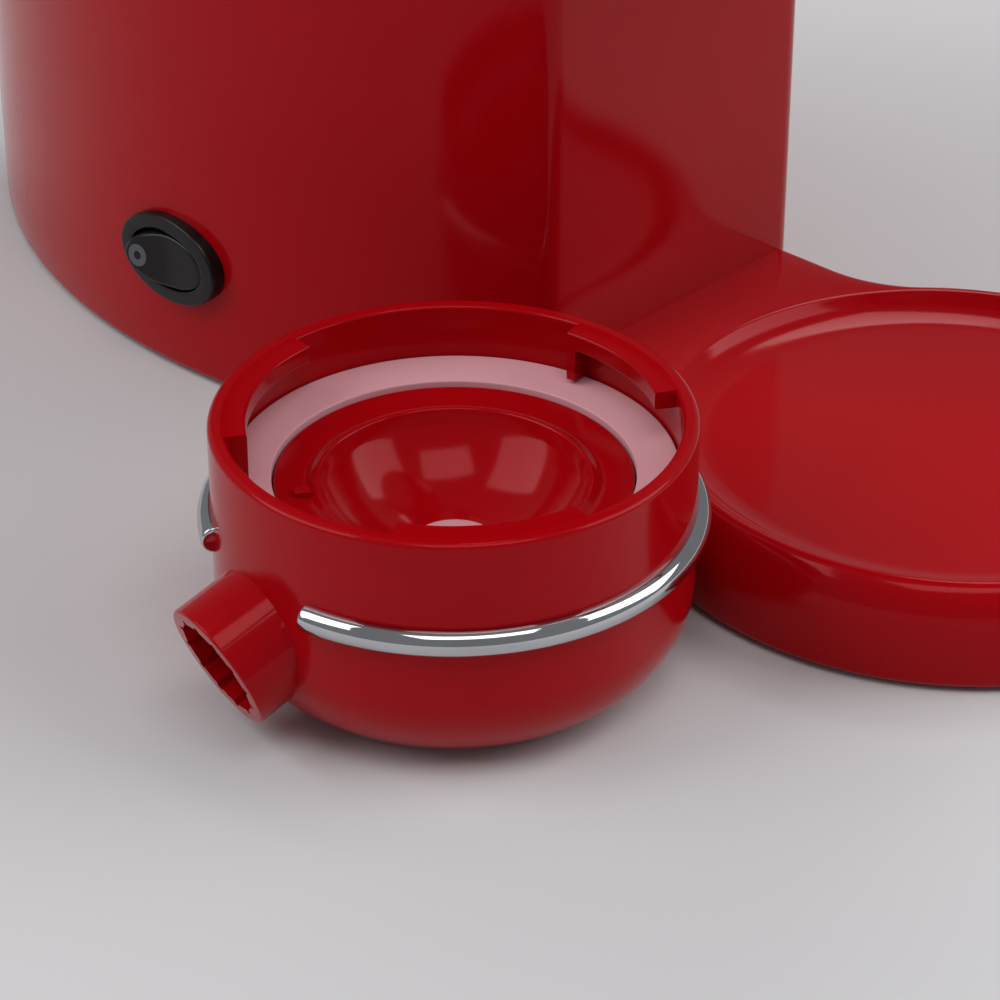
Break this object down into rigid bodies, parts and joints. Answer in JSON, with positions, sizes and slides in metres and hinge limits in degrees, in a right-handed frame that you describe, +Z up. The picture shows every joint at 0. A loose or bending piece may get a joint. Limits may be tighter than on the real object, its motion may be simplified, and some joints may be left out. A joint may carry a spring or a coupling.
{
  "type": "espresso machine",
  "caption": "Compact espresso machine with an oval body, round cup stand, brew head, rear water tank, side rocker switch and a bayonet filter holder standing beside it.",
  "frame": {"origin": "on the counter, at the middle of the underside of the rubber pad under the round cup stand, on the upright axis of the brew head", "axes": "+Z up, -Y out of the front of the machine (towards the cup), +X to the right of someone facing the front from behind the machine's cup side; the rocker switch and the loose filter holder are on the -X side"},
  "size_m": [0.1879, 0.2795, 0.2497],
  "materials": {
    "red_shell": "gloss",
    "black_gloss": "gloss",
    "black_matte": "satin",
    "black_rubber": "matte",
    "white_silicone": "matte",
    "red_silicone": "matte",
    "clear_silicone": "satin",
    "steel": "brushed",
    "zinc_steel": "satin",
    "chrome": "polished",
    "cast_aluminium": "cast",
    "brass": "satin",
    "beige_ceramic": "matte",
    "white_nylon": "satin",
    "smoked_clear": "clear gloss",
    "amber_clear": "clear gloss",
    "wire_sleeve": "satin"
  },
  "bodies": {
    "machine": {"body_shell": "red_shell", "base_plate": "black_matte", "rear_feet": "black_rubber", "base_screws": "zinc_steel", "cup_stand": "red_shell", "stand_sole": "black_matte", "stand_pad": "black_rubber", "sole_screws": "zinc_steel", "stand_screws": "zinc_steel", "tank_bay": "red_shell", "tank_port": "black_matte", "port_seal": "black_rubber", "head_shell": "red_shell", "head_screws": "zinc_steel", "bayonet_boss": "cast_aluminium", "boss_screws": "zinc_steel", "shower_plate": "steel", "shower_screw": "zinc_steel", "boiler_body": "cast_aluminium", "boiler_seal": "red_silicone", "boiler_lid": "cast_aluminium", "boiler_screws": "zinc_steel", "band_heater": "brass", "thermostat": "beige_ceramic", "thermal_fuse": "beige_ceramic", "pump_coil": "black_matte", "pump_frame": "steel", "pump_tube": "white_nylon", "pump_collars": "black_rubber", "suction_hose": "clear_silicone", "pressure_hose": "clear_silicone", "hose_clips": "steel", "switch_housing": "black_gloss", "switch_terminals": "brass", "cord_gland": "black_rubber", "terminal_block": "white_nylon", "leads": "wire_sleeve", "top_cover": "red_shell", "cover_screws": "zinc_steel", "button_bezel": "chrome", "button_switch": "black_matte", "pilot_lens": "amber_clear"},
    "rocker": {"rocker": "black_gloss"},
    "button": {"brew_button": "red_shell"},
    "tank": {"water_tank": "smoked_clear", "tank_valve": "white_nylon", "tank_strainer": "steel", "lid_pins": "zinc_steel"},
    "lid": {"tank_lid": "red_shell"},
    "holder": {"holder_cup": "red_shell", "holder_ring": "chrome", "filter_dish": "red_shell", "gasket": "white_silicone"}
  },
  "joints": [
    {"name": "rocker_tilt", "type": "hinge", "parent": "machine", "child": "rocker", "pos_m": [-0.0541, 0.1309, 0.0233], "axis": [0, 0, -1], "range_deg": [0, 20]},
    {"name": "brew_button_press", "type": "slide", "parent": "machine", "child": "button", "axis": [0, 0, -1], "range_m": [0, 0.0025], "stiffness_N_per_m": 500, "springref_m": -0.002},
    {"name": "tank_lift", "type": "slide", "parent": "machine", "child": "tank", "axis": [0, 0, 1], "range_m": [0, 0.16]},
    {"name": "lid_hinge", "type": "hinge", "parent": "tank", "child": "lid", "pos_m": [0, 0.1581, 0.242], "axis": [1, 0, 0], "range_deg": [0, 95]},
    {"name": "holder_lift", "type": "slide", "parent": "machine", "child": "holder", "axis": [0, 0, 1], "range_m": [0, 0.12]}
  ]
}
